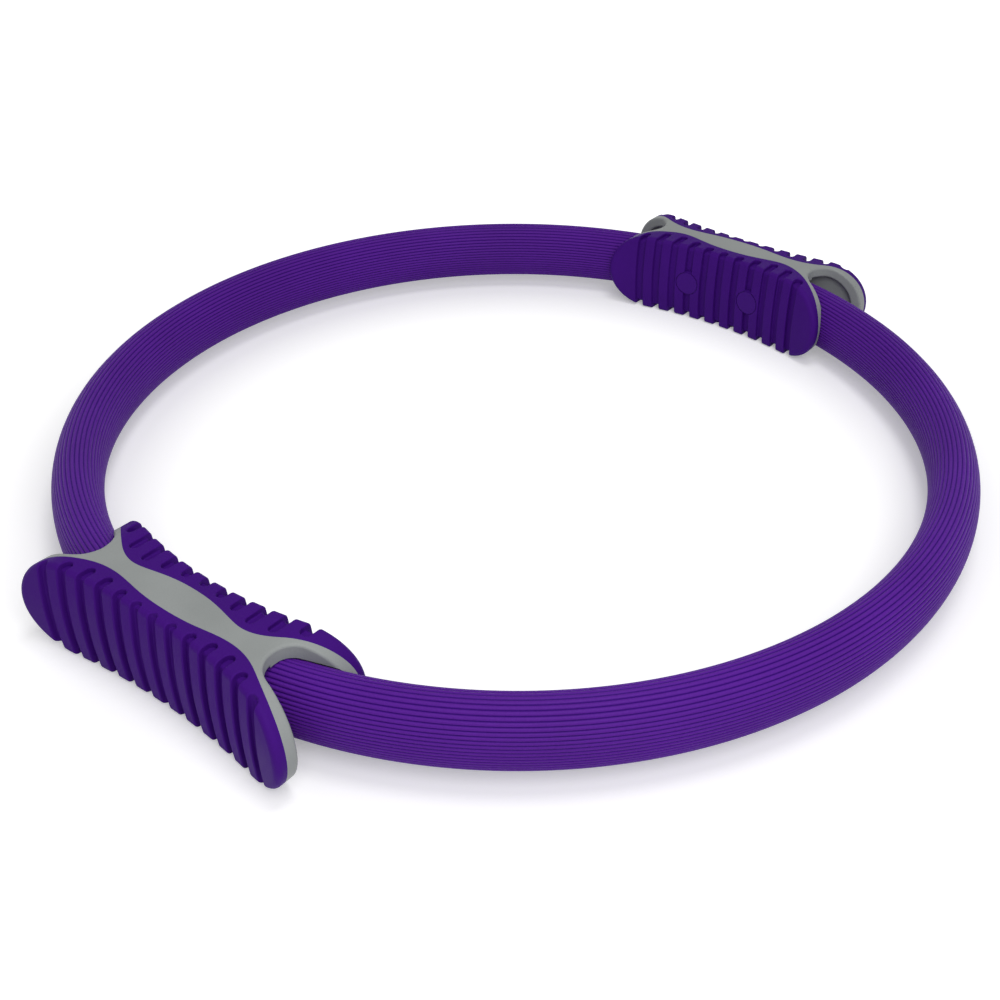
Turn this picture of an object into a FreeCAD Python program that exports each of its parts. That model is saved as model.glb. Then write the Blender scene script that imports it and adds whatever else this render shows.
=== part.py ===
import FreeCAD, Part
import math
import os

# Pilates ring: a padded spring ring with two squeeze handles.
# Millimetres, Z up, ring axis on Z, floor at zero, handles on the X axis.

# Ring
RING_OUTER_DIA = 380.0
SLEEVE_WIDE = 19.8
SLEEVE_HIGH = 28.5
RIB_COUNT = 46
RIB_DEEP = 0.5
RIB_GAP = 0.8
RIB_STRETCH = 0.11
SLEEVE_END_ANGLE = 9.8
SLOT_CLEAR = 0.35
SLEEVE_CLEAR = 0.35

# Spring bands, lapped inside the handles
BAND_HIGH = 20.0
BAND_THICK = 1.5
LAP_GAP = 0.3
LAP_LONG = 48.0
BAND_CORNER = 4.0
BAND_HOLE_DIA = 4.7

# Handle as a whole
HANDLE_HIGH = 40.0
SPLIT_IN = 0.9
FACE_CROWN_R = 130.0
SIDE_PAD = 2.8
FACE_PAD = 3.2
SIDE_WALL = 2.4
EDGE_ROUND = 2.2
SEAT_ROUND = 1.2

# Outer half: face distance outside the ring line, length and sweep
OUTER_FACE_OUT = 12.1
OUTER_LONG = 132.0
OUTER_SWEEP_R = 300.0
OUTER_FLOOR = 6.0

# Inner half: face distance inside the ring line, length and sweep
INNER_FACE_IN = 16.6
INNER_LONG = 121.0
INNER_SWEEP_R = 175.0
INNER_FLOOR = 5.2

# Mouth where the ring leaves the handle
MOUTH_AT = 43.2
MOUTH_R = 10.0
MOUTH_IN = 2.9
MOUTH_ROUND = 1.1
OUTER_FLARE = 13.2
INNER_FLARE = 29.0

# Grip grooves
GROOVE_PITCH = 8.8
GROOVE_WIDE = 3.8
GROOVE_DEEP = 2.1
GROOVE_ROUND = 0.5
OUTER_GROOVES = 13
INNER_GROOVES = 11
GROOVE_MARGIN = 2.8
PLUG_CLEAR = 7.8

# Screws, plugs and the posts that take them
SCREW_OFFSET = 2 * GROOVE_PITCH
SCREW_DIA = 4.0
SCREW_LONG = 16.0
HEAD_DIA = 7.6
HEAD_HIGH = 2.6
HEAD_BORE = 8.4
HEAD_SEAT = 8.2
SCREW_HOLE = 4.6
RECESS_DIA = 4.0
RECESS_DEEP = 1.6
PLUG_DIA = 12.4
PLUG_DEEP = 3.6
PLUG_STEP = 0.5
INNER_POST_DIA = 15.0
OUTER_POST_DIA = 9.5
CLAMP_GAP = 0.3

# Bulkheads that stop the sleeve ends, and the locating tongue
BULKHEAD_AT = 26.4
BULKHEAD_THICK = 2.0
TONGUE_LONG = 44.0
TONGUE_HIGH = 1.5
TONGUE_THICK = 1.4
TONGUE_CLEAR = 0.15

RING_R = (RING_OUTER_DIA - SLEEVE_WIDE) / 2
HALF_HIGH = HANDLE_HIGH / 2
CAVITY_HALF = HALF_HIGH - SIDE_PAD - SIDE_WALL
SPLIT_X = RING_R - SPLIT_IN
OUTER_X = RING_R + OUTER_FACE_OUT
INNER_X = RING_R - INNER_FACE_IN
OUTER_HALF = OUTER_LONG / 2
INNER_HALF = INNER_LONG / 2
OUTER_AXIS_X = OUTER_X + OUTER_SWEEP_R
INNER_AXIS_X = INNER_X - INNER_SWEEP_R
STACK_HALF = LAP_GAP / 2 + BAND_THICK
SEAT_X = INNER_X + HEAD_SEAT
FAR = 60.0

# Edge of the pads on the top and bottom: distance along, distance from the ring line
OUTER_SEAM = [
    (0.0, 5.4),
    (14.0, 4.6),
    (26.0, 3.0),
    (36.0, 3.5),
    (43.0, 5.7),
    (49.0, 8.6),
    (OUTER_HALF - 9.0, 12.0),
    (OUTER_HALF, 15.0),
    (OUTER_HALF + 12.0, 17.5),
]
INNER_SEAM = [
    (0.0, -7.5),
    (10.0, -6.9),
    (20.0, -5.0),
    (28.0, -4.0),
    (35.0, -5.8),
    (42.0, -10.0),
    (49.0, -14.8),
    (INNER_HALF - 5.0, -19.4),
    (INNER_HALF, -23.2),
    (INNER_HALF + 12.0, -29.0),
]


def vec(x, y, z):
    return FreeCAD.Vector(x, y, z)


def loop(points):
    return Part.makePolygon(points + [points[0]])


def box(x0, x1, y0, y1, z0, z1):
    return Part.makeBox(x1 - x0, y1 - y0, z1 - z0, vec(x0, y0, z0))


def rod(dia, x0, x1, y):
    return Part.makeCylinder(dia / 2, x1 - x0, vec(x0, y, 0), vec(1, 0, 0))


def end_round_bar(half_long, half_high):
    """Bar along X whose outline, seen from the face, has half-round ends."""
    run = half_long - half_high
    x0 = RING_R - FAR
    top_a = vec(x0, -run, half_high)
    top_b = vec(x0, run, half_high)
    low_a = vec(x0, -run, -half_high)
    low_b = vec(x0, run, -half_high)
    edges = [
        Part.makeLine(top_a, top_b),
        Part.Arc(top_b, vec(x0, half_long, 0), low_b).toShape(),
        Part.makeLine(low_b, low_a),
        Part.Arc(low_a, vec(x0, -half_long, 0), top_a).toShape(),
    ]
    face = Part.Face(Part.Wire(edges))
    return face.extrude(vec(2 * FAR, 0, 0))


def swept(face_x, back_x, axis_x, crown):
    """Block between a face and a back, turned round an upright axis."""
    tall = HALF_HIGH + 8.0
    drop = crown * tall * tall / (2 * FACE_CROWN_R)
    toward = -1.0 if back_x < face_x else 1.0
    edge_x = face_x + toward * drop
    low = vec(edge_x, 0, -tall)
    high = vec(edge_x, 0, tall)
    if crown:
        front = Part.Arc(low, vec(face_x, 0, 0), high).toShape()
    else:
        front = Part.makeLine(low, high)
    edges = [
        front,
        Part.makeLine(high, vec(back_x, 0, tall)),
        Part.makeLine(vec(back_x, 0, tall), vec(back_x, 0, -tall)),
        Part.makeLine(vec(back_x, 0, -tall), low),
    ]
    section = Part.Face(Part.Wire(edges))
    reach = max(OUTER_HALF, INNER_HALF) + 12.0
    spread = math.degrees(math.asin(reach / abs(axis_x - face_x)))
    section.rotate(vec(axis_x, 0, 0), vec(0, 0, 1), -spread)
    return section.revolve(vec(axis_x, 0, 0), vec(0, 0, 1), 2 * spread)


def outer_block(face_in, side_in, crown=1.0):
    bar = end_round_bar(OUTER_HALF - side_in, HALF_HIGH - side_in)
    sweep = swept(OUTER_X - face_in, SPLIT_X - 20.0, OUTER_AXIS_X, crown)
    return bar.common(sweep)


def inner_block(face_in, side_in, crown=1.0):
    bar = end_round_bar(INNER_HALF - side_in, HALF_HIGH - side_in)
    sweep = swept(INNER_X + face_in, SPLIT_X + 20.0, INNER_AXIS_X, crown)
    return bar.common(sweep)


def round_face_edge(block, radius, outward):
    """Round the rim of the grip face, the face furthest along outward X."""
    best = max(block.Faces, key=lambda f: outward * f.CenterOfMass.x)
    solid = block.Solids[0]
    rim = []
    for edge in best.OuterWire.Edges:
        for own in solid.Edges:
            if own.isSame(edge):
                rim.append(own)
    return solid.makeFillet(radius, rim)


def beyond_seam(seam, inside):
    """Upright block on the ring side of a pad edge drawn as a smooth curve."""
    right = [vec(RING_R + out, along, -FAR) for along, out in seam]
    left = [vec(p.x, -p.y, p.z) for p in reversed(right[1:])]
    points = left + right
    curve = Part.BSplineCurve()
    curve.interpolate(points)
    back_x = RING_R + inside * 2 * FAR
    edges = [
        curve.toShape(),
        Part.makeLine(points[-1], vec(back_x, points[-1].y, -FAR)),
        Part.makeLine(vec(back_x, points[-1].y, -FAR), vec(back_x, points[0].y, -FAR)),
        Part.makeLine(vec(back_x, points[0].y, -FAR), points[0]),
    ]
    return Part.Face(Part.Wire(edges)).extrude(vec(0, 0, 2 * FAR))


def seam_at(seam, along):
    """Distance of a pad edge from the ring line, read between its points."""
    along = abs(along)
    for (a0, o0), (a1, o1) in zip(seam, seam[1:]):
        if along <= a1:
            return o0 + (o1 - o0) * (along - a0) / (a1 - a0)
    return seam[-1][1]


def mouth(side):
    """Open end of the handle: a round throat that flares to both tips."""
    mid = vec(RING_R - MOUTH_IN, MOUTH_AT + MOUTH_R, 0)
    up = math.radians(OUTER_FLARE)
    down = math.radians(INNER_FLARE)
    a = mid + vec(MOUTH_R * math.cos(up), -MOUTH_R * math.sin(up), 0)
    b = mid + vec(-MOUTH_R * math.cos(down), -MOUTH_R * math.sin(down), 0)
    run = OUTER_HALF - MOUTH_AT + 12.0
    a_end = a + vec(run * math.tan(up), run, 0)
    b_end = b + vec(-run * math.tan(down), run, 0)
    edges = [
        Part.Arc(a, mid + vec(0, -MOUTH_R, 0), b).toShape(),
        Part.makeLine(b, b_end),
        Part.makeLine(b_end, a_end),
        Part.makeLine(a_end, a),
    ]
    face = Part.Face(Part.Wire(edges))
    face.translate(vec(0, 0, -FAR))
    solid = face.extrude(vec(0, 0, 2 * FAR))
    if side < 0:
        solid = solid.mirror(vec(0, 0, 0), vec(0, 1, 0))
    return solid


def round_mouths(shell, half_long, side_in):
    """Round the rims of both mouths where they meet a wall this far in."""
    run = half_long - HALF_HIGH
    rims = []
    for edge in shell.Edges:
        mid = edge.valueAt((edge.FirstParameter + edge.LastParameter) / 2)
        out = vec(0, math.copysign(max(0.0, abs(mid.y) - run), mid.y), mid.z)
        on_wall = abs(out.Length - HALF_HIGH + side_in) < 0.02
        if on_wall and abs(mid.y) > MOUTH_AT and meets_mouth(shell, edge, mid, out):
            rims.append(edge)
    return shell.makeFillet(MOUTH_ROUND, rims)


def meets_mouth(shell, edge, mid, out):
    """True for a sharp edge with one upright face left by the mouth's cutter."""
    faces = shell.ancestorsOfType(edge, Part.Face)
    normals = []
    for face in faces:
        u, v = face.Surface.parameter(mid)
        normals.append(face.normalAt(u, v))
    if len(normals) != 2 or abs(normals[0].dot(normals[1])) > 0.87:
        return False
    inward = 1.0 if mid.x < SPLIT_X else -1.0
    for face, normal in zip(faces, normals):
        cutter_face = isinstance(face.Surface, (Part.Plane, Part.Cylinder))
        upright = abs(normal.z) < 0.02 and normal.y * mid.y > 0
        along_wall = abs(normal.dot(out)) > 0.98 * out.Length
        if cutter_face and upright and not along_wall and normal.x * inward > -0.3:
            return True
    return False


def groove_cutters(seam, count, sign, floor_block, gaps):
    """Round-ended slots over face and edges, down to the groove floor."""
    half = GROOVE_WIDE / 2
    cutters = []
    for k in range(count):
        y = (k - (count - 1) / 2) * GROOVE_PITCH
        end = RING_R + seam_at(seam, y) + sign * (GROOVE_MARGIN + half)
        far_x = RING_R + sign * FAR * 0.9
        tip = vec(end - sign * half, y, -FAR)
        edges = [
            Part.makeLine(vec(far_x, y - half, -FAR), vec(end, y - half, -FAR)),
            Part.Arc(vec(end, y - half, -FAR), tip, vec(end, y + half, -FAR)).toShape(),
            Part.makeLine(vec(end, y + half, -FAR), vec(far_x, y + half, -FAR)),
            Part.makeLine(vec(far_x, y + half, -FAR), vec(far_x, y - half, -FAR)),
        ]
        slot = Part.Face(Part.Wire(edges)).extrude(vec(0, 0, 2 * FAR))
        for gap_y in gaps:
            if abs(y - gap_y) < GROOVE_PITCH / 2:
                slot = slot.cut(plug_land(gap_y))
        cutters.append(slot.cut(floor_block))
    return cutters


def soften_grooves(pad, seam):
    """Round the rims where the grooves break the grip face and the edges."""
    rims = []
    for edge in pad.Edges:
        mid = edge.valueAt((edge.FirstParameter + edge.LastParameter) / 2)
        centre = GROOVE_PITCH * round(mid.y / GROOVE_PITCH)
        beside = abs(mid.y - centre) <= GROOVE_WIDE / 2 + 0.05
        from_seam = abs(mid.x - RING_R - seam_at(seam, mid.y))
        if beside and from_seam > 1.0 and is_rim(pad, edge, mid):
            rims.append(edge)
    return pad.makeFillet(GROOVE_ROUND, rims)


def is_rim(solid, edge, mid):
    """True for a sharp edge that stands proud, judged by its smaller face."""
    faces = solid.ancestorsOfType(edge, Part.Face)
    if len(faces) != 2:
        return False
    faces.sort(key=lambda face: face.Area)
    normals = []
    for face in faces:
        u, v = face.Surface.parameter(mid)
        normals.append(face.normalAt(u, v))
    sharp = normals[0].dot(normals[1]) < 0.87
    return sharp and (faces[0].CenterOfMass - mid).dot(normals[1]) < 0


def plug_land(y):
    """Stretch left standing above and below a plug, with hollow round ends."""
    half = GROOVE_WIDE / 2
    end = PLUG_CLEAR + half
    x0 = RING_R - FAR
    land = box(x0, RING_R, y - GROOVE_WIDE, y + GROOVE_WIDE, -end, end)
    for z in (-end, end):
        bite = Part.makeCylinder(half, FAR, vec(x0, y, z), vec(1, 0, 0))
        land = land.cut(bite)
    return land


def band_channel():
    """Room for the two lapped bands through bulkheads and posts."""
    inner = RING_R - STACK_HALF - CLAMP_GAP
    outer = RING_R + STACK_HALF + CLAMP_GAP
    half = BAND_HIGH / 2 + CLAMP_GAP
    tube = Part.makeCylinder(outer, 2 * half, vec(0, 0, -half))
    return tube.cut(Part.makeCylinder(inner, 2 * half, vec(0, 0, -half)))


def sleeve_room():
    """Clear space kept round both sleeves where they enter the handles."""
    wide = SLEEVE_WIDE / 2 + SLEEVE_CLEAR
    tall = SLEEVE_HIGH / 2 + SLEEVE_CLEAR
    oval = Part.Ellipse(vec(RING_R, 0, tall), vec(RING_R + wide, 0, 0), vec(RING_R, 0, 0))
    rooms = []
    start = SLEEVE_END_ANGLE - 0.2
    for middle in (-90.0, 90.0):
        section = Part.Face(Part.Wire(oval.toShape()))
        section.rotate(vec(0, 0, 0), vec(0, 0, 1), middle - 90.0 + start)
        rooms.append(section.revolve(vec(0, 0, 0), vec(0, 0, 1), 180.0 - 2 * start))
    return rooms


def tidy(shape):
    solids = shape.removeSplitter().Solids
    solids.sort(key=lambda s: -s.Volume)
    return solids[0]


def posts_and_bulkheads(seat_block, x0, x1, post_dia):
    """Screw posts and the walls that stop the sleeves, trimmed to the shell."""
    added = []
    for side in (-1, 1):
        added.append(rod(post_dia, x0, x1, side * SCREW_OFFSET))
        near = side * BULKHEAD_AT
        far = side * (BULKHEAD_AT + BULKHEAD_THICK)
        tall = CAVITY_HALF + 0.5
        added.append(box(x0, x1, min(near, far), max(near, far), -tall, tall))
    return [piece.common(seat_block) for piece in added]


def tongues(grow):
    """Locating strips on the split, above and below the cavity."""
    strips = []
    mid = (CAVITY_HALF + HALF_HIGH) / 2
    half = TONGUE_THICK / 2 + grow
    reach = TONGUE_LONG / 2 + grow
    for z in (-mid, mid):
        strips.append(box(SPLIT_X - 0.5, SPLIT_X + TONGUE_HIGH + grow,
                          -reach, reach, z - half, z + half))
    return strips


def outer_half():
    full = round_face_edge(outer_block(0.0, 0.0), EDGE_ROUND, 1.0)
    seat = round_face_edge(outer_block(FACE_PAD, SIDE_PAD), SEAT_ROUND, 1.0)
    floor = round_face_edge(outer_block(GROOVE_DEEP, GROOVE_DEEP), EDGE_ROUND / 2, 1.0)
    ring_side = beyond_seam(OUTER_SEAM, -1.0)
    pad = full.cut(seat).cut(ring_side)
    pad = pad.cut(groove_cutters(OUTER_SEAM, OUTER_GROOVES, 1.0, floor, []))
    pad = soften_grooves(tidy(pad), OUTER_SEAM)

    cavity = outer_block(OUTER_FLOOR, HALF_HIGH - CAVITY_HALF, 0.0)
    shell = seat.fuse(full.common(ring_side)).cut(cavity)
    shell = shell.fuse(posts_and_bulkheads(seat, SPLIT_X, OUTER_X, OUTER_POST_DIA))
    shell = shell.cut([mouth(1), mouth(-1), band_channel()] + sleeve_room())
    half_space = box(SPLIT_X, OUTER_X + FAR, -FAR * 2, FAR * 2, -FAR, FAR)
    shell = shell.common(half_space).cut(tongues(TONGUE_CLEAR))
    tip_x = SEAT_X + SCREW_LONG
    for side in (-1, 1):
        shell = shell.cut(rod(SCREW_DIA, SPLIT_X, tip_x, side * SCREW_OFFSET))
    shell = round_mouths(tidy(shell), OUTER_HALF, 0.0)
    shell = round_mouths(shell, OUTER_HALF, HALF_HIGH - CAVITY_HALF)
    return tidy(shell), tidy(pad)


def inner_half():
    full = round_face_edge(inner_block(0.0, 0.0), EDGE_ROUND, -1.0)
    seat = round_face_edge(inner_block(FACE_PAD, SIDE_PAD), SEAT_ROUND, -1.0)
    floor = round_face_edge(inner_block(GROOVE_DEEP, GROOVE_DEEP), EDGE_ROUND / 2, -1.0)
    ring_side = beyond_seam(INNER_SEAM, 1.0)
    plugs_at = (-SCREW_OFFSET, SCREW_OFFSET)
    pad = full.cut(seat).cut(ring_side)
    pad = pad.cut(groove_cutters(INNER_SEAM, INNER_GROOVES, -1.0, floor, plugs_at))
    pad = soften_grooves(tidy(pad), INNER_SEAM)

    cavity = inner_block(INNER_FLOOR, HALF_HIGH - CAVITY_HALF, 0.0)
    shell = seat.fuse(full.common(ring_side)).cut(cavity)
    shell = shell.fuse(posts_and_bulkheads(seat, INNER_X, SPLIT_X + 4.0, INNER_POST_DIA))
    shell = shell.cut([mouth(1), mouth(-1), band_channel()] + sleeve_room())
    half_space = box(INNER_X - FAR, SPLIT_X, -FAR * 2, FAR * 2, -FAR, FAR)
    shell = shell.common(half_space).fuse(tongues(0.0))
    for y in plugs_at:
        plug_bore = rod(PLUG_DIA, INNER_X - 5.0, INNER_X + PLUG_DEEP, y)
        head_bore = rod(HEAD_BORE, INNER_X, SEAT_X, y)
        hole = rod(SCREW_HOLE, INNER_X, SPLIT_X + 8.0, y)
        shell = shell.cut([plug_bore, head_bore, hole])
        pad = pad.cut(plug_bore)
    shell = round_mouths(tidy(shell), INNER_HALF, 0.0)
    return tidy(shell), tidy(pad)


def screw(y):
    head = rod(HEAD_DIA, SEAT_X - HEAD_HIGH, SEAT_X, y)
    rim = [e for e in head.Edges if e.CenterOfMass.x < SEAT_X - HEAD_HIGH + 0.01]
    head = head.makeFillet(HEAD_HIGH * 0.4, [rim[0]])
    shank = rod(SCREW_DIA, SEAT_X - 0.5, SEAT_X + SCREW_LONG - SCREW_DIA / 2, y)
    point = Part.makeCone(SCREW_DIA / 2, 0.4, SCREW_DIA / 2,
                          vec(SEAT_X + SCREW_LONG - SCREW_DIA / 2, y, 0), vec(1, 0, 0))
    body = head.fuse([shank, point])
    arm = RECESS_DIA / 2
    x0 = SEAT_X - HEAD_HIGH - 0.1
    x1 = SEAT_X - HEAD_HIGH + RECESS_DEEP
    cross = box(x0, x1, y - arm, y + arm, -0.5, 0.5)
    cross = cross.fuse(box(x0, x1, y - 0.5, y + 0.5, -arm, arm))
    return tidy(body.cut(cross))


def plug(y):
    """Flush plug with a shallow step round its face, which shows as a line."""
    low = rod(PLUG_DIA, INNER_X - 5.0, INNER_X + PLUG_DEEP - 0.2, y)
    low = low.common(inner_block(PLUG_STEP, PLUG_STEP))
    top = rod(PLUG_DIA - 2 * PLUG_STEP, INNER_X - 5.0, INNER_X + 1.5, y)
    top = top.common(inner_block(0.0, 0.0))
    return tidy(low.fuse(top))


def band(radius, middle):
    """Half ring of spring strip with rounded, drilled ends."""
    lap = math.degrees(math.asin(LAP_LONG / 2 / RING_R))
    inner = radius - BAND_THICK / 2
    section = Part.Face(loop([
        vec(inner, 0, -BAND_HIGH / 2),
        vec(inner + BAND_THICK, 0, -BAND_HIGH / 2),
        vec(inner + BAND_THICK, 0, BAND_HIGH / 2),
        vec(inner, 0, BAND_HIGH / 2),
    ]))
    section.rotate(vec(0, 0, 0), vec(0, 0, 1), middle - 90.0 - lap)
    strip = section.revolve(vec(0, 0, 0), vec(0, 0, 1), 180.0 + 2 * lap)
    corners = []
    for edge in strip.Edges:
        a = edge.Vertexes[0].Point
        b = edge.Vertexes[-1].Point
        flat = vec(a.x, a.y, 0)
        short = abs(edge.Length - BAND_THICK) < 0.01
        if short and abs((b - a).z) < 0.01 and flat.Length > 1.0:
            corners.append(edge)
    strip = strip.Solids[0].makeFillet(BAND_CORNER, corners)
    for handle in (-1, 1):
        for side in (-1, 1):
            x0 = handle * RING_R - 20.0
            strip = strip.cut(rod(BAND_HOLE_DIA, x0, x0 + 40.0, side * SCREW_OFFSET))
    return tidy(strip)


def oval_points(inset, starts):
    """Points at shares of the way round the sleeve's oval, some way in."""
    a = SLEEVE_WIDE / 2 - inset
    b = SLEEVE_HIGH / 2 - inset
    steps = 4000
    run = [0.0]
    spots = [(a, 0.0)]
    for k in range(1, steps + 1):
        turn = 2 * math.pi * k / steps
        spot = (a * math.cos(turn), b * math.sin(turn))
        last = spots[-1]
        run.append(run[-1] + math.hypot(spot[0] - last[0], spot[1] - last[1]))
        spots.append(spot)
    picked = []
    k = 0
    for share in starts:
        while run[k] < run[-1] * share:
            k += 1
        picked.append(vec(RING_R + spots[k][0], 0, spots[k][1]))
    return picked


def rib_share(rib):
    """Share of the way round at which a rib starts, drawn apart over the band's edges."""
    even = rib / RIB_COUNT
    return even - RIB_STRETCH * math.sin(4 * math.pi * even) / (4 * math.pi)


def ribbed_wire():
    """Closed outline of the sleeve: flat ribs with a narrow V between."""
    around = math.pi * (SLEEVE_WIDE + SLEEVE_HIGH) / 2
    half = RIB_GAP / around / 2
    ribs = range(RIB_COUNT)
    starts = oval_points(0.0, [rib_share(k) + half for k in ribs])
    ends = oval_points(0.0, [rib_share(k + 1) - half for k in ribs])
    dips = oval_points(RIB_DEEP, [rib_share(k + 1) for k in ribs])
    points = []
    for start, end, dip in zip(starts, ends, dips):
        points += [start, end, dip]
    return loop(points)


def slot_wire(radius):
    """Closed outline of the slit in the foam that takes a band."""
    half = BAND_THICK / 2 + SLOT_CLEAR
    tall = BAND_HIGH / 2 + SLOT_CLEAR - half
    edges = [
        Part.makeLine(vec(radius + half, 0, -tall), vec(radius + half, 0, tall)),
        Part.Arc(vec(radius + half, 0, tall), vec(radius, 0, tall + half + 0.4),
                 vec(radius - half, 0, tall)).toShape(),
        Part.makeLine(vec(radius - half, 0, tall), vec(radius - half, 0, -tall)),
        Part.Arc(vec(radius - half, 0, -tall), vec(radius, 0, -tall - half - 0.4),
                 vec(radius + half, 0, -tall)).toShape(),
    ]
    return Part.Wire(edges)


def sleeve(radius, middle):
    """Half ring of ribbed foam with a slit for its band."""
    solids = []
    for wire in (ribbed_wire(), slot_wire(radius)):
        section = Part.Face(wire)
        section.rotate(vec(0, 0, 0), vec(0, 0, 1), middle - 90.0 + SLEEVE_END_ANGLE)
        turn = 180.0 - 2 * SLEEVE_END_ANGLE
        solids.append(section.revolve(vec(0, 0, 0), vec(0, 0, 1), turn))
    return solids[0].cut(solids[1]).Solids[0]


FRONT_BAND_R = RING_R + (LAP_GAP + BAND_THICK) / 2
REAR_BAND_R = RING_R - (LAP_GAP + BAND_THICK) / 2

nodes = {
    "front_spring_band": band(FRONT_BAND_R, -90.0),
    "rear_spring_band": band(REAR_BAND_R, 90.0),
    "front_foam_sleeve": sleeve(FRONT_BAND_R, -90.0),
    "rear_foam_sleeve": sleeve(REAR_BAND_R, 90.0),
}
outer_shell, outer_pad = outer_half()
inner_shell, inner_pad = inner_half()
handle = {
    "outer_shell": outer_shell,
    "inner_shell": inner_shell,
    "outer_pad": outer_pad,
    "inner_pad": inner_pad,
    "front_screw": screw(-SCREW_OFFSET),
    "rear_screw": screw(SCREW_OFFSET),
    "front_plug": plug(-SCREW_OFFSET),
    "rear_plug": plug(SCREW_OFFSET),
}
swap = {"front": "rear", "rear": "front"}
for name, shape in handle.items():
    nodes["right_" + name] = shape
    turned = shape.copy()
    turned.rotate(vec(0, 0, 0), vec(0, 0, 1), 180.0)
    first, rest = name.split("_", 1)
    nodes["left_" + swap.get(first, first) + "_" + rest] = turned

os.makedirs("parts", exist_ok=True)
for name, shape in nodes.items():
    shape.translate(vec(0, 0, HALF_HIGH))
    shape.exportStep("parts/" + name + ".step")
    size = shape.BoundBox
    print(name, len(shape.Solids), shape.isValid(), round(shape.Volume / 1000, 2),
          [round(v, 1) for v in (size.XMin, size.XMax, size.YMin, size.YMax, size.ZMin, size.ZMax)])
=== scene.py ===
import math

import bmesh
import bpy
from bpy.props import (
    FloatProperty,
    FloatVectorProperty,
    IntProperty,
    PointerProperty,
)
from mathutils import Matrix, Vector


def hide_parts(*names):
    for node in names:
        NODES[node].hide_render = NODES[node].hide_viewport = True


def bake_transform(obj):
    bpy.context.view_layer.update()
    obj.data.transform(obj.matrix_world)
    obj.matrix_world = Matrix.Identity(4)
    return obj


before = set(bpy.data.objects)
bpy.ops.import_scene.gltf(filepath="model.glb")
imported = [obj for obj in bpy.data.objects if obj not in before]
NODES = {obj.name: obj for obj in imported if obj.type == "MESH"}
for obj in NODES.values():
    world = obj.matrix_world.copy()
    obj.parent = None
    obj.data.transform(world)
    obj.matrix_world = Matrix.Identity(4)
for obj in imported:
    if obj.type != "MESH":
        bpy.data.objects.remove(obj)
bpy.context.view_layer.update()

bl_info = {
    "name": "Pilates Ring",
    "version": (1, 0, 0),
    "blender": (4, 5, 0),
    "location": "3D View > Sidebar > Pilates Ring",
    "description": "Dresses the foam-covered squeeze ring and its two grip handles",
    "category": "Object",
}

SIDES = ("left", "right")
HALVES = ("front", "rear")

# Ring sizes in metres, the same as in the part's source.
RING_RADIUS = 0.1801
MID_HEIGHT = 0.020
SLEEVE_END = math.radians(9.8)

# Foam section: points of the plain oval, points of each rib, and the power that rounds a rib's land.
OVAL_POINTS = 512
POINTS_PER_RIB = 12
LAND_POWER = 0.65
# The ribs draw apart twice on the way round, once over each edge of the band.
STRETCH_ANGLE = 4 * math.pi
# Points this near to x = 0 belong to the cap between two quarters.
CAP_SLACK = 0.0005

# Distances at which corners of a CAD mesh are one, and at which a corner lies on the cut.
MERGE_DISTANCE = 1e-6
CUT_DISTANCE = 1e-7

# Nearly all values of a noise texture fall between these.
NOISE_SPAN = {"From_Min": 0.3, "From_Max": 0.7}
PLASTIC_IOR = 1.5

# Floor: its size, and the white it shows by distance from the ring's line.
FLOOR_RADIUS = 4
FLOOR_SIDES = 96
FLOOR_WHITE = {"From_Min": 0.012, "From_Max": 0.14, "To_Min": 0.28, "To_Max": 1.0}

# Light: the even level from all round, then each lamp's name, place, width and power.
EVEN_LIGHT = 0.32
LAMPS = (
    ("key_light", (-0.36, -0.43, 0.55), 0.5, 2.2),
    ("top_light", (-0.08, -0.2, 1.0), 0.35, 2.1),
)

# Camera, as fitted to the ring's outline.
CAMERA_AIM = (0.0032, 0.00086, 0)
LENS_SHIFT = (-0.0245, -0.0756)
SENSOR_WIDTH = 36
NEAREST_SEEN = 0.01


def colour(hex_code):
    """Linear colour with alpha from an sRGB hex value."""
    channels = [int(hex_code[i:i + 2], 16) / 255 for i in (1, 3, 5)]
    linear = [c / 12.92 if c <= 0.04045 else ((c + 0.055) / 1.055) ** 2.4 for c in channels]
    return (*linear, 1.0)


def per_mm(size):
    """Texture scale for a pattern whose cells are this many millimetres across."""
    return 1000 / size


def add(tree, kind, inputs=(), **settings):
    """Adds a node. Inputs pair a socket with the output that feeds it, or with a plain value.
    Settings name the node's options, or sockets that hold a plain value."""
    node = tree.nodes.new(kind)
    for key, value in settings.items():
        if hasattr(node, key):
            setattr(node, key, value)
        else:
            node.inputs[key.replace("_", " ")].default_value = value
    for socket, source in inputs:
        if isinstance(source, bpy.types.NodeSocket):
            tree.links.new(source, node.inputs[socket])
        else:
            node.inputs[socket].default_value = source
    return node


# Properties

class FoamSleeveSizes(bpy.types.PropertyGroup):
    width: FloatProperty(
        name="Width", description="Foam tube, across the ring's radius",
        default=0.0198, min=0.005, unit="LENGTH", precision=4)
    height: FloatProperty(
        name="Height", description="Foam tube, floor to top",
        default=0.0285, min=0.005, unit="LENGTH", precision=4)
    ribs: IntProperty(
        name="Ribs", description="Fine ribs round the foam tube",
        default=46, min=6, max=120)
    rib_depth: FloatProperty(
        name="Rib Depth", description="Depth of the valley between two ribs",
        default=0.0005, min=0.0, unit="LENGTH", precision=5)
    rib_stretch: FloatProperty(
        name="Rib Stretch", description="How much further apart the ribs are over the band's two edges",
        default=0.11, min=0.0, max=0.5)
    segments: IntProperty(
        name="Segments", description="Steps along each quarter of the ring",
        default=72, min=8, max=200)


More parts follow.
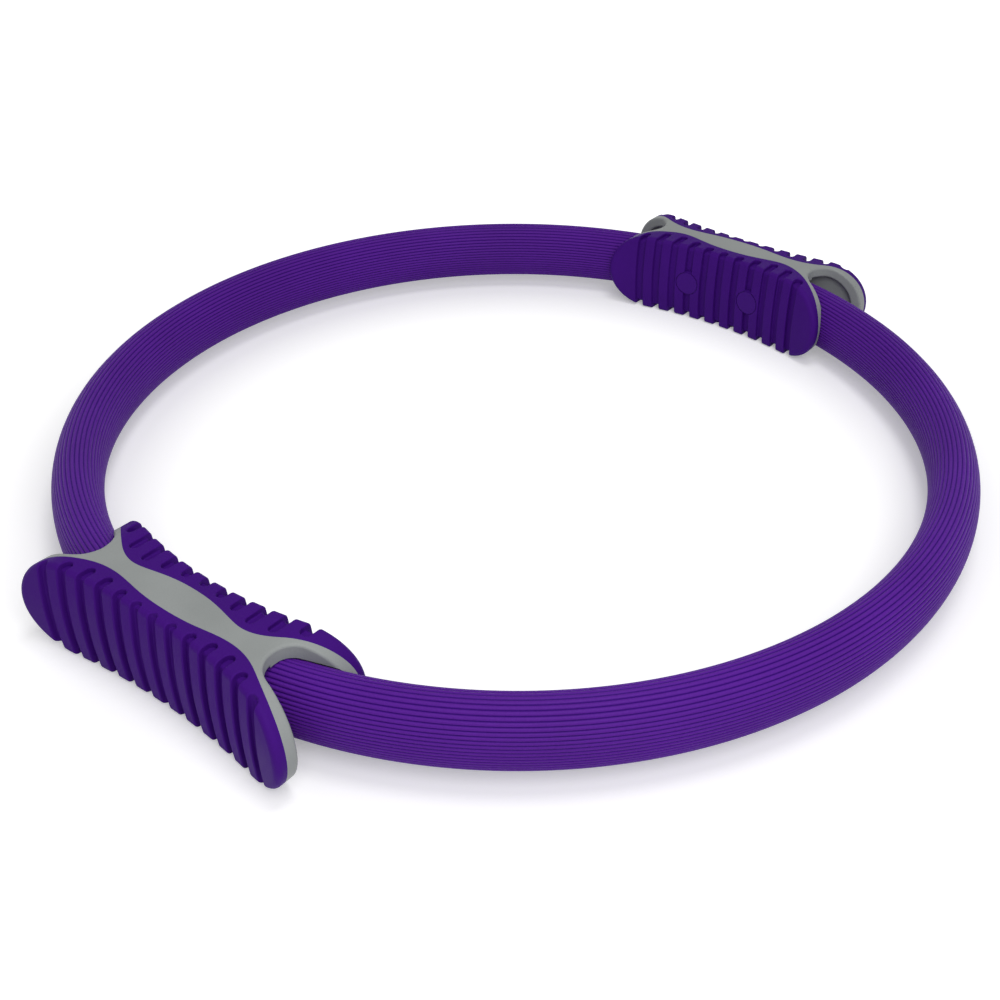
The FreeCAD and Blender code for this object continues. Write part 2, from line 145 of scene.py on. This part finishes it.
class RingColours(bpy.types.PropertyGroup):
    foam: FloatVectorProperty(
        name="Foam", description="Rib tops of the foam tube",
        subtype="COLOR", size=4, default=colour("#5a2295"), min=0, max=1)
    # Painted shade: a darker colour laid into the valleys between the ribs.
    foam_valley_shade: FloatVectorProperty(
        name="Foam Valley Shade", description="Valleys between the ribs",
        subtype="COLOR", size=4, default=colour("#2f0070"), min=0, max=1)
    pad: FloatVectorProperty(
        name="Grip Pad", description="Soft grip pads on the handles",
        subtype="COLOR", size=4, default=colour("#43137d"), min=0, max=1)
    shell: FloatVectorProperty(
        name="Handle Shell", description="Moulded grey halves of the handles",
        subtype="COLOR", size=4, default=colour("#9b9f9e"), min=0, max=1)
    floor: FloatVectorProperty(
        name="Floor", description="Studio floor",
        subtype="COLOR", size=4, default=colour("#f8f8f8"), min=0, max=1)


class StageSizes(bpy.types.PropertyGroup):
    camera_distance: FloatProperty(
        name="Camera Distance", description="From the camera to the middle of the ring",
        default=0.57, min=0.1, unit="LENGTH")
    camera_elevation: FloatProperty(
        name="Camera Elevation", description="Camera above the floor's plane",
        default=0.55822, subtype="ANGLE")
    camera_turn: FloatProperty(
        name="Camera Turn", description="Handle line against the camera's right, seen from above",
        default=math.radians(52.0), subtype="ANGLE")
    camera_roll: FloatProperty(
        name="Camera Roll", description="Camera's tilt about its own line of sight",
        default=0.00691, subtype="ANGLE")
    lens: FloatProperty(
        name="Lens", description="Focal length on a 36 mm sensor",
        default=47.994, min=10, unit="CAMERA")


class PilatesRing(bpy.types.PropertyGroup):
    sleeve: PointerProperty(
        type=FoamSleeveSizes, name="Foam Sleeve", description="Sizes of the foam tube")
    colours: PointerProperty(
        type=RingColours, name="Colours", description="Finishes of the ring")
    stage: PointerProperty(
        type=StageSizes, name="Stage", description="Camera and studio")


# Materials

def new_material(name):
    """The material of this name, and its empty tree if it still has to be made."""
    material = bpy.data.materials.get(name)
    if material:
        return material, None
    material = bpy.data.materials.new(name)
    material.use_nodes = True
    material.node_tree.nodes.clear()
    return material, material.node_tree


def finish_material(tree, shader):
    add(tree, "ShaderNodeOutputMaterial", [("Surface", shader.outputs[0])])


def shifted_tone(tree, tint, drift, speck):
    """The tint made lighter and darker by a slow drift and a fine speck."""
    both = add(tree, "ShaderNodeMath", [(0, drift.outputs["Result"]), (1, speck.outputs["Result"])],
               operation="MULTIPLY")
    tone = add(tree, "ShaderNodeVectorMath", [(0, tint), ("Scale", both.outputs["Value"])],
               operation="SCALE")
    return tone.outputs["Vector"]


def foam_material(colours):
    """Extruded NBR foam: a closed, matte skin with fine pores, and painted shade that makes the valleys
    darker than the rib tops.
    """
    material, tree = new_material("Extruded NBR foam")
    if not tree:
        return material
    place = add(tree, "ShaderNodeTexCoord").outputs["Object"]
    rib = add(tree, "ShaderNodeAttribute", attribute_name="rib_top")
    # Pores are about 0.3 mm, drawn at 0.7 mm so that they show.
    pores = add(tree, "ShaderNodeTexNoise", [("Vector", place)],
                Scale=per_mm(0.7), Detail=3.0, Roughness=0.6).outputs["Fac"]
    # Shade drifts over stretches of about 45 mm.
    shade = add(tree, "ShaderNodeTexNoise", [("Vector", place)],
                Scale=per_mm(45), Detail=2.0).outputs["Fac"]
    # Painted shade: the rib's land height runs the colour from the dark valley colour in the valleys to
    # the foam colour on the tops.
    ramp = add(tree, "ShaderNodeValToRGB", [("Fac", rib.outputs["Fac"])])
    valley, top = ramp.color_ramp.elements
    valley.position = 0.1
    valley.color = colours.foam_valley_shade
    top.position = 0.8
    top.color = colours.foam
    drift = add(tree, "ShaderNodeMapRange", [("Value", shade)], **NOISE_SPAN, To_Min=0.92, To_Max=1.06)
    speck = add(tree, "ShaderNodeMapRange", [("Value", pores)], **NOISE_SPAN, To_Min=0.94, To_Max=1.05)
    rough = add(tree, "ShaderNodeMapRange", [("Value", pores)], **NOISE_SPAN, To_Min=0.5, To_Max=0.38)
    bump = add(tree, "ShaderNodeBump", [("Height", pores)], Strength=0.18, Distance=0.0004)
    finish_material(tree, add(
        tree, "ShaderNodeBsdfPrincipled",
        [("Base Color", shifted_tone(tree, ramp.outputs["Color"], drift, speck)),
         ("Roughness", rough.outputs["Result"]),
         ("Normal", bump.outputs["Normal"])],
        IOR=PLASTIC_IOR, Specular_IOR_Level=0.06))
    return material


def moulded_material(name, tint, grain_mm, smoothest, roughest, grain_bump, gloss):
    """A moulded surface: etched grain from the tool, and a shade that drifts a little with the flow."""
    material, tree = new_material(name)
    if not tree:
        return material
    place = add(tree, "ShaderNodeTexCoord").outputs["Object"]
    grain = add(tree, "ShaderNodeTexNoise", [("Vector", place)],
                Scale=per_mm(grain_mm), Detail=2.0, Roughness=0.55).outputs["Fac"]
    # Flow marks are about 22 mm long.
    flow = add(tree, "ShaderNodeTexNoise", [("Vector", place)],
               Scale=per_mm(22), Detail=3.0).outputs["Fac"]
    drift = add(tree, "ShaderNodeMapRange", [("Value", flow)], **NOISE_SPAN, To_Min=0.93, To_Max=1.05)
    speck = add(tree, "ShaderNodeMapRange", [("Value", grain)], **NOISE_SPAN, To_Min=0.97, To_Max=1.03)
    rough = add(tree, "ShaderNodeMapRange", [("Value", flow)], **NOISE_SPAN,
                To_Min=smoothest, To_Max=roughest)
    bump = add(tree, "ShaderNodeBump", [("Height", grain)], Strength=grain_bump, Distance=0.0003)
    finish_material(tree, add(
        tree, "ShaderNodeBsdfPrincipled",
        [("Base Color", shifted_tone(tree, tint[:3], drift, speck)),
         ("Roughness", rough.outputs["Result"]),
         ("Normal", bump.outputs["Normal"])],
        IOR=PLASTIC_IOR, Specular_IOR_Level=gloss))
    return material


def steel_material(name, tint, rough):
    """Rolled or turned steel: fine lines along the work give the highlight its stretch."""
    material, tree = new_material(name)
    if not tree:
        return material
    place = add(tree, "ShaderNodeTexCoord").outputs["Object"]
    # Rolling lines are about 0.4 mm apart across the strip and long beside that.
    stretch = add(tree, "ShaderNodeMapping", [("Vector", place)], Scale=(0.06, 0.06, 1.0))
    lines = add(tree, "ShaderNodeTexNoise", [("Vector", stretch.outputs["Vector"])],
                Scale=per_mm(0.4), Detail=2.0).outputs["Fac"]
    shade = add(tree, "ShaderNodeMapRange", [("Value", lines)], **NOISE_SPAN,
                To_Min=rough - 0.06, To_Max=rough + 0.08)
    bump = add(tree, "ShaderNodeBump", [("Height", lines)], Strength=0.1, Distance=0.0002)
    finish_material(tree, add(
        tree, "ShaderNodeBsdfPrincipled",
        [("Roughness", shade.outputs["Result"]), ("Normal", bump.outputs["Normal"])],
        Base_Color=tint, Metallic=1.0))
    return material


def paint_node(name, material):
    """Gives a CAD node its finish through its own material slots."""
    for held in NODES[name].material_slots:
        held.link = "OBJECT"
        held.material = material


# Foam sleeves

def ribbed_tube_tree():
    """Geometry Nodes tree: an oval, ribbed section swept along an arc of the ring."""
    tree = bpy.data.node_groups.get("Ribbed foam tube")
    if tree:
        return tree
    tree = bpy.data.node_groups.new("Ribbed foam tube", "GeometryNodeTree")
    for name, kind in (
        ("Ring Radius", "NodeSocketFloat"),
        ("Mid Height", "NodeSocketFloat"),
        ("Start Angle", "NodeSocketFloat"),
        ("Sweep Angle", "NodeSocketFloat"),
        ("Width", "NodeSocketFloat"),
        ("Height", "NodeSocketFloat"),
        ("Ribs", "NodeSocketInt"),
        ("Rib Depth", "NodeSocketFloat"),
        ("Rib Stretch", "NodeSocketFloat"),
        ("Segments", "NodeSocketInt"),
        ("Foam", "NodeSocketMaterial"),
    ):
        tree.interface.new_socket(name, in_out="INPUT", socket_type=kind)
    tree.interface.new_socket("Geometry", in_out="OUTPUT", socket_type="NodeSocketGeometry")
    given = add(tree, "NodeGroupInput").outputs

    path = add(tree, "GeometryNodeCurveArc", [
        ("Resolution", given["Segments"]), ("Radius", given["Ring Radius"]),
        ("Start Angle", given["Start Angle"]), ("Sweep Angle", given["Sweep Angle"])])

    # The section starts as a circle, is drawn out to the oval, and gets evenly spaced points.
    circle = add(tree, "GeometryNodeCurvePrimitiveCircle", Resolution=OVAL_POINTS, Radius=0.5)
    where = add(tree, "GeometryNodeInputPosition").outputs["Position"]
    across = add(tree, "ShaderNodeCombineXYZ", [
        ("X", given["Width"]), ("Y", given["Height"])]).outputs["Vector"]
    oval_place = add(tree, "ShaderNodeVectorMath", [(0, where), (1, across)], operation="MULTIPLY")
    oval = add(tree, "GeometryNodeSetPosition", [
        ("Geometry", circle.outputs["Curve"]), ("Position", oval_place.outputs["Vector"])])
    points = add(tree, "ShaderNodeMath", [(0, given["Ribs"]), (1, POINTS_PER_RIB)], operation="MULTIPLY")
    even = add(tree, "GeometryNodeResampleCurve", [
        ("Curve", oval.outputs["Geometry"]), ("Count", points.outputs["Value"])])

    # The band inside stretches the foam over its upper and lower edges, so the points draw apart there.
    along = add(tree, "GeometryNodeSplineParameter").outputs["Factor"]
    two_rounds = add(tree, "ShaderNodeMath", [(0, along), (1, STRETCH_ANGLE)], operation="MULTIPLY")
    swing = add(tree, "ShaderNodeMath", [(0, two_rounds.outputs["Value"])], operation="SINE")
    drawn = add(tree, "ShaderNodeMath", [
        (0, swing.outputs["Value"]), (1, given["Rib Stretch"])], operation="MULTIPLY")
    slid = add(tree, "ShaderNodeMath", [(0, drawn.outputs["Value"]), (1, STRETCH_ANGLE)],
               operation="DIVIDE")
    share = add(tree, "ShaderNodeMath", [(0, along), (1, slid.outputs["Value"])], operation="SUBTRACT")
    spot = add(tree, "GeometryNodeSampleCurve", [
        ("Curves", oval.outputs["Geometry"]), ("Factor", share.outputs["Value"])], mode="FACTOR")
    spread = add(tree, "GeometryNodeSetPosition", [
        ("Geometry", even.outputs["Curve"]), ("Position", spot.outputs["Position"])])

    # Each rib is a round land: a sine raised to a low power, with a valley at every twelfth point.
    index = add(tree, "GeometryNodeInputIndex").outputs["Index"]
    half_turns = add(tree, "ShaderNodeMath", [(0, index), (1, math.pi / POINTS_PER_RIB)],
                     operation="MULTIPLY")
    wave = add(tree, "ShaderNodeMath", [(0, half_turns.outputs["Value"])], operation="SINE")
    lift = add(tree, "ShaderNodeMath", [(0, wave.outputs["Value"])], operation="ABSOLUTE")
    land = add(tree, "ShaderNodeMath", [(0, lift.outputs["Value"]), (1, LAND_POWER)], operation="POWER")
    drop = add(tree, "ShaderNodeMath", [(0, land.outputs["Value"]), (1, 1.0)], operation="SUBTRACT")
    depth = add(tree, "ShaderNodeMath", [
        (0, drop.outputs["Value"]), (1, given["Rib Depth"])], operation="MULTIPLY")
    # The oval's outward direction is its position over the squares of its width and height.
    squared = add(tree, "ShaderNodeVectorMath", [(0, across), (1, across)], operation="MULTIPLY")
    slope = add(tree, "ShaderNodeVectorMath", [
        (0, where), (1, squared.outputs["Vector"])], operation="DIVIDE")
    outward = add(tree, "ShaderNodeVectorMath", [(0, slope.outputs["Vector"])], operation="NORMALIZE")
    shift = add(tree, "ShaderNodeVectorMath", [
        (0, outward.outputs["Vector"]), ("Scale", depth.outputs["Value"])], operation="SCALE")
    # The land's height is kept as rib_top, from which the foam material paints shade into the valleys.
    marked = add(tree, "GeometryNodeStoreNamedAttribute", [
        ("Geometry", spread.outputs["Geometry"]), ("Name", "rib_top"), ("Value", land.outputs["Value"])],
        data_type="FLOAT", domain="POINT")
    ribbed = add(tree, "GeometryNodeSetPosition", [
        ("Geometry", marked.outputs["Geometry"]), ("Offset", shift.outputs["Vector"])])

    tube = add(tree, "GeometryNodeCurveToMesh", [
        ("Curve", path.outputs["Curve"]), ("Profile Curve", ribbed.outputs["Geometry"]),
        ("Fill Caps", True)])
    raised = add(tree, "ShaderNodeCombineXYZ", [("Z", given["Mid Height"])])
    placed = add(tree, "GeometryNodeTransform", [
        ("Geometry", tube.outputs["Mesh"]), ("Translation", raised.outputs["Vector"])])
    real = add(tree, "GeometryNodeRealizeInstances", [("Geometry", placed.outputs["Geometry"])])
    painted = add(tree, "GeometryNodeSetMaterial", [
        ("Geometry", real.outputs["Geometry"]), ("Material", given["Foam"])])
    add(tree, "NodeGroupOutput", [("Geometry", painted.outputs["Geometry"])])
    return tree


def show(name, mesh):
    piece = bpy.data.objects.new(name, mesh)
    bpy.context.scene.collection.objects.link(piece)
    return piece


def mesh_from_tree(name, tree, values):
    """Evaluates a tree on an empty object and returns the result as a plain mesh."""
    holder = show(name + "_maker", bpy.data.meshes.new(name + "_maker"))
    modifier = holder.modifiers.new("Maker", "NODES")
    modifier.node_group = tree
    for item in tree.interface.items_tree:
        if item.in_out == "INPUT":
            modifier[item.identifier] = values[item.name]
    graph = bpy.context.evaluated_depsgraph_get()
    mesh = bpy.data.meshes.new_from_object(holder.evaluated_get(graph))
    mesh.name = name
    bpy.data.objects.remove(holder)
    return mesh


def quarter_arc(half, side):
    """Start angle and sweep of a quarter of the ring, from the x = 0 plane to its handle."""
    sweep = math.pi / 2 - SLEEVE_END
    start = {
        ("rear", "right"): SLEEVE_END,
        ("rear", "left"): math.pi / 2,
        ("front", "left"): math.pi + SLEEVE_END,
        ("front", "right"): -math.pi / 2,
    }[half, side]
    return start, sweep


def set_middle_cap(mesh):
    """Sets the cap where two quarters meet flat on x = 0, as the sweep ends square to its last step."""
    for vertex in mesh.vertices:
        if abs(vertex.co.x) < CAP_SLACK:
            vertex.co.x = 0


def bend_with_handle(piece):
    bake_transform(piece)


class RING_OT_foam_sleeves(bpy.types.Operator):
    """Makes the ribbed foam tube as four quarters"""
    bl_idname = "pilates_ring.foam_sleeves"
    bl_label = "Foam Sleeves"

    def execute(self, context):
        settings = context.scene.pilates_ring
        sizes = settings.sleeve
        foam = foam_material(settings.colours)
        tree = ribbed_tube_tree()
        for half in HALVES:
            for side in SIDES:
                start, sweep = quarter_arc(half, side)
                name = f"{half}_sleeve_{side}"
                mesh = mesh_from_tree(name, tree, {
                    "Ring Radius": RING_RADIUS, "Mid Height": MID_HEIGHT,
                    "Start Angle": start, "Sweep Angle": sweep,
                    "Width": sizes.width, "Height": sizes.height,
                    "Ribs": sizes.ribs, "Rib Depth": sizes.rib_depth,
                    "Rib Stretch": sizes.rib_stretch, "Segments": sizes.segments, "Foam": foam})
                if not mesh.polygons:
                    raise RuntimeError(name + " came out empty")
                set_middle_cap(mesh)
                piece = show(name, mesh)
                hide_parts(half + "_foam_sleeve")
                bend_with_handle(piece)
        return {"FINISHED"}


# Spring bands

def half_of_node(name, node, side, material):
    """A merged copy of a CAD node's mesh, cut at x = 0 and closed there."""
    mesh = NODES[node].data.copy()
    mesh.name = name
    form = bmesh.new()
    form.from_mesh(mesh)
    bmesh.ops.remove_doubles(form, verts=form.verts, dist=MERGE_DISTANCE)
    cut = bmesh.ops.bisect_plane(
        form, geom=form.verts[:] + form.edges[:] + form.faces[:], dist=CUT_DISTANCE,
        plane_co=(0, 0, 0), plane_no=(1, 0, 0),
        clear_inner=side == "right", clear_outer=side == "left")
    rim = [e for e in cut["geom_cut"] if isinstance(e, bmesh.types.BMEdge)]
    bmesh.ops.holes_fill(form, edges=rim, sides=0)
    form.to_mesh(mesh)
    form.free()
    mesh.materials.clear()
    mesh.materials.append(material)
    return show(name, mesh)


class RING_OT_spring_bands(bpy.types.Operator):
    """Splits each spring band at the ring's middle into two halves, closed at the cut"""
    bl_idname = "pilates_ring.spring_bands"
    bl_label = "Spring Bands"

    def execute(self, context):
        steel = steel_material("Rolled spring steel", colour("#8b8f94"), rough=0.34)
        for half in HALVES:
            for side in SIDES:
                piece = half_of_node(f"{half}_band_{side}", half + "_spring_band", side, steel)
                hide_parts(half + "_spring_band")
                bend_with_handle(piece)
        return {"FINISHED"}


# Handles

class RING_OT_handle_shells(bpy.types.Operator):
    """Finishes the grey shells of both handles"""
    bl_idname = "pilates_ring.handle_shells"
    bl_label = "Handle Shells"

    def execute(self, context):
        tint = context.scene.pilates_ring.colours.shell
        # Fine spark-eroded grain is about 0.2 mm, drawn at 0.5 mm so that it shows.
        plastic = moulded_material(
            "Moulded ABS, fine grain", tint, grain_mm=0.5, smoothest=0.4, roughest=0.52,
            grain_bump=0.12, gloss=0.15)
        for side in SIDES:
            for part in ("outer_shell", "inner_shell"):
                paint_node(f"{side}_{part}", plastic)
        return {"FINISHED"}


class RING_OT_grip_pads(bpy.types.Operator):
    """Finishes the grooved grip pads and the plugs over the screws"""
    bl_idname = "pilates_ring.grip_pads"
    bl_label = "Grip Pads"

    def execute(self, context):
        tint = context.scene.pilates_ring.colours.pad
        # The soft-touch grain is about 0.25 mm, drawn at 0.6 mm so that it shows.
        rubber = moulded_material(
            "Moulded soft-touch TPE", tint, grain_mm=0.6, smoothest=0.5, roughest=0.64,
            grain_bump=0.2, gloss=0.05)
        plug = moulded_material(
            "Moulded TPE plug", tint, grain_mm=0.6, smoothest=0.46, roughest=0.58,
            grain_bump=0.14, gloss=0.07)
        for side in SIDES:
            for part in ("outer_pad", "inner_pad"):
                paint_node(f"{side}_{part}", rubber)
            for half in HALVES:
                paint_node(f"{side}_{half}_plug", plug)
        return {"FINISHED"}


class RING_OT_clamp_screws(bpy.types.Operator):
    """Finishes the clamp screws under the plugs"""
    bl_idname = "pilates_ring.clamp_screws"
    bl_label = "Clamp Screws"

    def execute(self, context):
        steel = steel_material("Turned zinc-plated steel", colour("#b9bcbe"), rough=0.3)
        for side in SIDES:
            for half in HALVES:
                paint_node(f"{side}_{half}_screw", steel)
        return {"FINISHED"}


# Stage

def soft_lamp(name, place, size, power):
    """A round lamp that points at the middle of the ring."""
    lamp = bpy.data.lights.new(name, "AREA")
    lamp.shape = "DISK"
    lamp.size = size
    lamp.energy = power
    holder = bpy.data.objects.new(name, lamp)
    holder.location = place
    holder.rotation_euler = (-Vector(place)).to_track_quat("-Z", "Y").to_euler()
    bpy.context.scene.collection.objects.link(holder)


def shows_background(tree):
    """1 for rays that show the background: from the camera, or by way of gloss or glass."""
    path = add(tree, "ShaderNodeLightPath").outputs
    gloss = add(tree, "ShaderNodeMath", [(0, path["Is Camera Ray"]), (1, path["Is Glossy Ray"])],
                operation="MAXIMUM")
    glass = add(tree, "ShaderNodeMath", [
        (0, gloss.outputs["Value"]), (1, path["Is Transmission Ray"])], operation="MAXIMUM")
    return glass.outputs["Value"]


def paper_material(tint):
    """Matte studio paper: flat and pale, white away from the ring, with the ring's shadow beside it."""
    material, tree = new_material("Matte studio paper")
    if not tree:
        return material
    matte = add(tree, "ShaderNodeBsdfDiffuse", Color=tint)
    place = add(tree, "ShaderNodeTexCoord").outputs["Object"]
    radius = add(tree, "ShaderNodeVectorMath", [(0, place)], operation="LENGTH")
    beside = add(tree, "ShaderNodeMath", [(0, radius.outputs["Value"]), (1, RING_RADIUS)],
                 operation="SUBTRACT")
    away = add(tree, "ShaderNodeMath", [(0, beside.outputs["Value"])], operation="ABSOLUTE")
    white = add(tree, "ShaderNodeMapRange", [("Value", away.outputs["Value"])], **FLOOR_WHITE)
    strength = add(tree, "ShaderNodeMath", [
        (0, shows_background(tree)), (1, white.outputs["Result"])], operation="MULTIPLY")
    glow = add(tree, "ShaderNodeEmission", [("Strength", strength.outputs["Value"])])
    finish_material(tree, add(tree, "ShaderNodeAddShader", [
        (0, matte.outputs["BSDF"]), (1, glow.outputs["Emission"])]))
    return material


def studio_floor(tint):
    form = bmesh.new()
    bmesh.ops.create_circle(form, cap_ends=True, radius=FLOOR_RADIUS, segments=FLOOR_SIDES)
    mesh = bpy.data.meshes.new("studio_floor")
    form.to_mesh(mesh)
    form.free()
    mesh.materials.append(paper_material(tint))
    show("studio_floor", mesh)


def studio_world():
    """Even light from all round, seen as plain white by the camera."""
    world = bpy.data.worlds.new("Studio")
    world.use_nodes = True
    tree = world.node_tree
    tree.nodes.clear()
    strength = add(tree, "ShaderNodeMapRange", [("Value", shows_background(tree))],
                   To_Min=EVEN_LIGHT, To_Max=1.0)
    light = add(tree, "ShaderNodeBackground", [("Strength", strength.outputs["Result"])],
                Color=(1, 1, 1, 1))
    add(tree, "ShaderNodeOutputWorld", [("Surface", light.outputs["Background"])])
    bpy.context.scene.world = world


def studio_camera(sizes):
    """Camera at the photograph's place, fitted to the ring's outline there."""
    tilt = sizes.camera_elevation
    roll = sizes.camera_roll
    right = Vector((1, 0, 0))
    up = Vector((0, math.sin(tilt), math.cos(tilt)))
    forward = Vector((0, math.cos(tilt), -math.sin(tilt)))
    turned_right = right * math.cos(roll) + up * math.sin(roll)
    turned_up = up * math.cos(roll) - right * math.sin(roll)
    pose = Matrix((turned_right, turned_up, -forward)).transposed().to_4x4()
    pose.translation = Vector(CAMERA_AIM) - forward * sizes.camera_distance
    lens = bpy.data.cameras.new("Camera")
    lens.sensor_width = SENSOR_WIDTH
    lens.lens = sizes.lens
    lens.shift_x, lens.shift_y = LENS_SHIFT
    lens.clip_start = NEAREST_SEEN
    camera = bpy.data.objects.new("Camera", lens)
    to_ring = Matrix.Translation((0, 0, MID_HEIGHT)) @ Matrix.Rotation(-sizes.camera_turn, 4, "Z")
    camera.matrix_world = to_ring @ pose
    bpy.context.scene.collection.objects.link(camera)
    bpy.context.scene.camera = camera


class RING_OT_stage(bpy.types.Operator):
    """Sets up the floor, the soft light and the camera"""
    bl_idname = "pilates_ring.stage"
    bl_label = "Stage"

    def execute(self, context):
        settings = context.scene.pilates_ring
        studio_floor(settings.colours.floor)
        studio_world()
        for name, place, size, power in LAMPS:
            soft_lamp(name, place, size, power)
        studio_camera(settings.stage)
        context.scene.view_settings.view_transform = "Standard"
        return {"FINISHED"}


# Panel and registration

STEPS = (
    RING_OT_foam_sleeves,
    RING_OT_spring_bands,
    RING_OT_handle_shells,
    RING_OT_grip_pads,
    RING_OT_clamp_screws,
    RING_OT_stage,
)


class RING_PT_panel(bpy.types.Panel):
    bl_idname = "RING_PT_panel"
    bl_label = "Pilates Ring"
    bl_space_type = "VIEW_3D"
    bl_region_type = "UI"
    bl_category = "Pilates Ring"

    def draw(self, context):
        settings = context.scene.pilates_ring
        for group in (settings.sleeve, settings.colours, settings.stage):
            box = self.layout.box()
            for name in group.__annotations__:
                box.prop(group, name)
        for step in STEPS:
            self.layout.operator(step.bl_idname)


CLASSES = (FoamSleeveSizes, RingColours, StageSizes, PilatesRing, *STEPS, RING_PT_panel)


def register():
    for kind in CLASSES:
        bpy.utils.register_class(kind)
    bpy.types.Scene.pilates_ring = PointerProperty(type=PilatesRing)


def unregister():
    del bpy.types.Scene.pilates_ring
    for kind in reversed(CLASSES):
        bpy.utils.unregister_class(kind)


def main():
    register()
    for step in STEPS:
        group, name = step.bl_idname.split(".")
        getattr(getattr(bpy.ops, group), name)()


if __name__ == "__main__":
    main()
